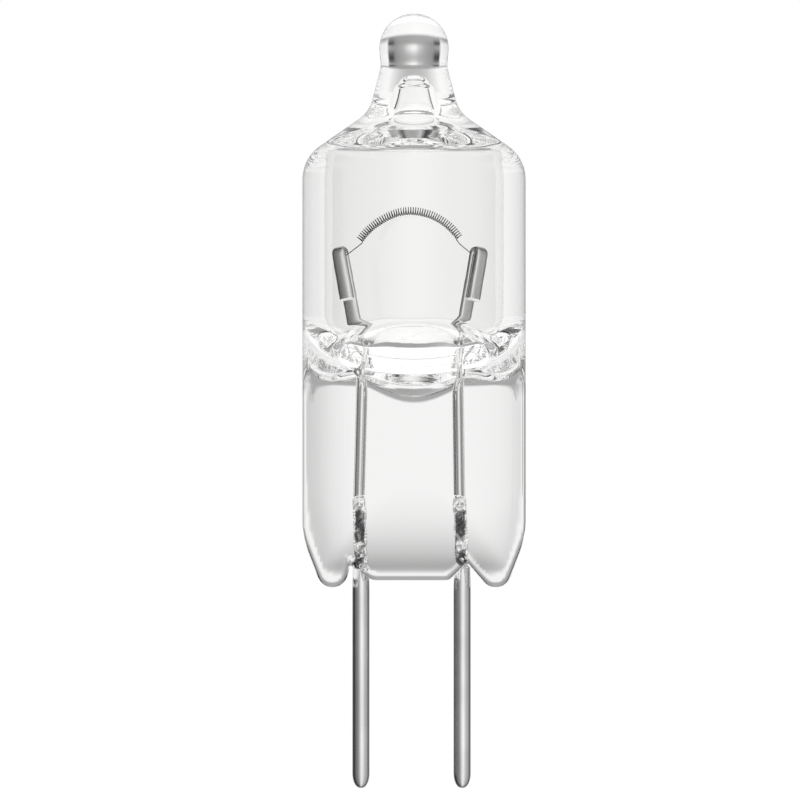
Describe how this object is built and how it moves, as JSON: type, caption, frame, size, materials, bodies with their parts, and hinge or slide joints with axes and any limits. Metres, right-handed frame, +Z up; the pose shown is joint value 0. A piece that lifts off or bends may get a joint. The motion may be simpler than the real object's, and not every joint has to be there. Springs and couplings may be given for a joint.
{
  "type": "halogen capsule bulb",
  "caption": "Clear quartz capsule bulb with an arched coil filament, flattened inner leads, a pressed flat seal and straight contact pins.",
  "frame": {"origin": "midway between the contact pins, on the plane of the holder's top face, 0.15 mm below the seal's lowest glass", "axes": "+Z up from the pins to the sealed tip, +X along the line of the pins, -Y the front face of the flat seal"},
  "size_m": [0.0088, 0.0088, 0.0306],
  "materials": {
    "quartz_glass": "clear, fire-polished",
    "tungsten": "drawn wire, dull grey",
    "molybdenum_wire": "drawn wire, satin",
    "molybdenum_foil": "thin crumpled foil",
    "pin_metal": "bright nickel"
  },
  "bodies": {
    "root": {"glass_envelope": "quartz_glass", "filament": "tungsten", "inner_lead_left": "molybdenum_wire", "inner_lead_right": "molybdenum_wire", "foil_left": "molybdenum_foil", "foil_right": "molybdenum_foil", "pin_left": "pin_metal", "pin_right": "pin_metal"}
  },
  "joints": []
}
